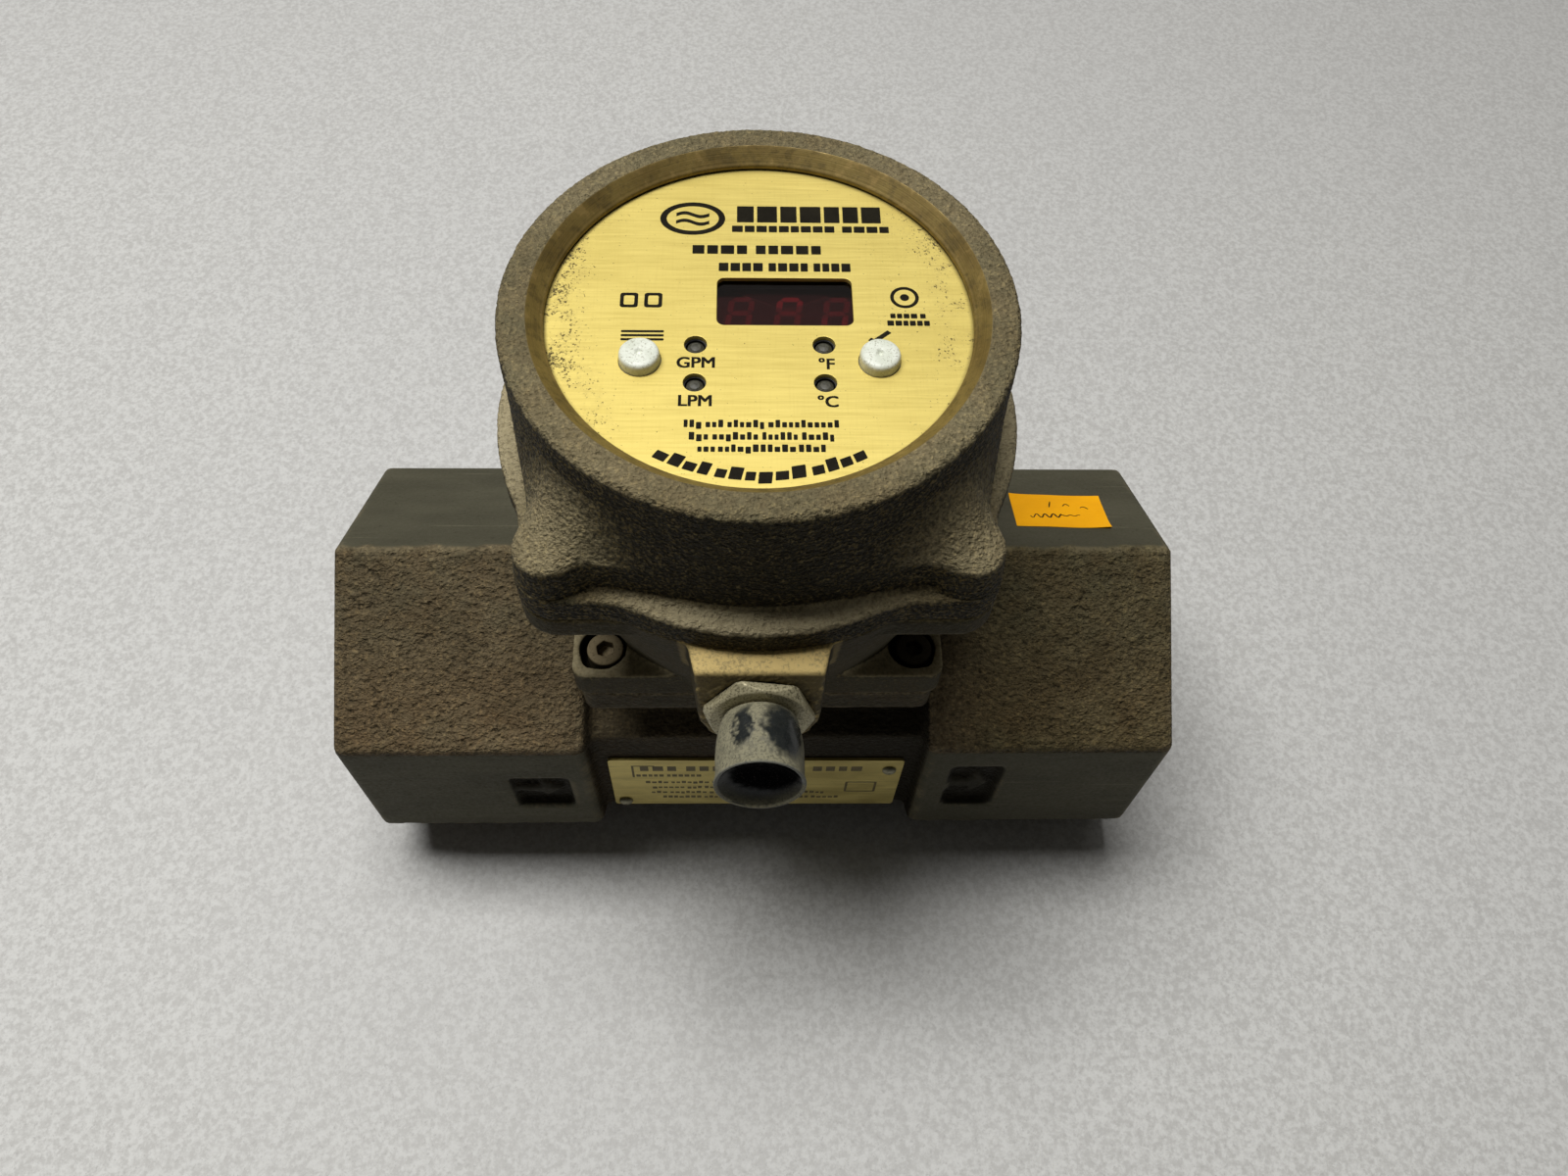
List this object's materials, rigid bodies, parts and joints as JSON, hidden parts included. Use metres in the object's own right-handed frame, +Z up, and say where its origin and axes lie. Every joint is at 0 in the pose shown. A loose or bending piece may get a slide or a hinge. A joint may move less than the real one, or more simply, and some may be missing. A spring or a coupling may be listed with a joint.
{
  "type": "inline flow and temperature meter",
  "caption": "Cast bronze inline liquid flow and temperature meter: hexagonal pipe body, round display head with push buttons, side signal connector under a push-on cap.",
  "frame": {"origin": "centre of the resting flat under the body, straight below the middle of the pipe axis", "axes": "+X along the pipe in the direction of flow, inlet at -X and outlet at +X; -Y is the front with the signal connector and nameplate; +Z is up through the display head"},
  "size_m": [0.175, 0.1116, 0.1502],
  "materials": {
    "bronze_casting": "sand-cast, aged dark, dusty",
    "stainless": "turned",
    "fluoropolymer": "smooth",
    "seal_rubber": "matt",
    "gasket_fibre": "matt",
    "screw_steel": "dull, dusty",
    "face_brass": "brushed along the pipe direction",
    "moulded_black": "fine grain",
    "spring_steel": "phosphated",
    "red_filter": "smooth",
    "display_body": "smooth",
    "led_resin": "smooth",
    "button_white": "smooth",
    "switch_plastic": "smooth",
    "board_laminate": "solder mask",
    "standoff_brass": "turned",
    "chip_resin": "moulded",
    "capacitor_sleeve": "sleeve",
    "terminal_plastic": "moulded",
    "cable_jacket": "smooth",
    "connector_metal": "dull nickel plate",
    "pin_gold": "plated",
    "cap_vinyl": "glossy, dusty",
    "plate_brass": "thin sheet, tarnished",
    "label_paper": "matt"
  },
  "bodies": {
    "meter": {"meter_body": "bronze_casting", "shedder_bar": "fluoropolymer", "vortex_pickup": "stainless", "temperature_probe": "stainless", "sensor_o_rings": "seal_rubber", "mounting_gasket": "gasket_fibre", "housing_base": "bronze_casting", "mounting_screws": "screw_steel", "joint_seal": "seal_rubber", "housing_cover": "bronze_casting", "cover_screws": "screw_steel", "faceplate": "face_brass", "face_seal": "seal_rubber", "panel_carrier": "moulded_black", "retaining_ring": "spring_steel", "display_window": "red_filter", "led_display": "display_body", "indicator_leds": "led_resin", "menu_switch": "switch_plastic", "set_switch": "switch_plastic", "display_board": "board_laminate", "display_screws": "screw_steel", "main_board": "board_laminate", "board_standoffs": "standoff_brass", "board_screws": "screw_steel", "processor_chip": "chip_resin", "filter_capacitor": "capacitor_sleeve", "terminal_block": "terminal_plastic", "board_headers": "moulded_black", "ribbon_cable": "cable_jacket", "sensor_wires": "cable_jacket", "connector_shell": "connector_metal", "connector_o_ring": "seal_rubber", "connector_insert": "moulded_black", "connector_pins": "pin_gold", "connector_wires": "cable_jacket", "nameplate": "plate_brass", "nameplate_rivets": "screw_steel", "paper_label": "label_paper"},
    "menu_key": {"menu_button": "button_white", "menu_plunger": "switch_plastic"},
    "set_key": {"set_button": "button_white", "set_plunger": "switch_plastic"},
    "cap": {"connector_cap": "cap_vinyl"}
  },
  "joints": [
    {"name": "menu_press", "type": "slide", "parent": "meter", "child": "menu_key", "axis": [0, 0, -1], "range_m": [0, 0.0005], "stiffness_N_per_m": 1500, "springref_m": -0.0005},
    {"name": "set_press", "type": "slide", "parent": "meter", "child": "set_key", "axis": [0, 0, -1], "range_m": [0, 0.0005], "stiffness_N_per_m": 1500, "springref_m": -0.0005},
    {"name": "cap_pull", "type": "slide", "parent": "meter", "child": "cap", "axis": [0, -0.9898, 0.1426], "range_m": [0, 0.03]}
  ]
}
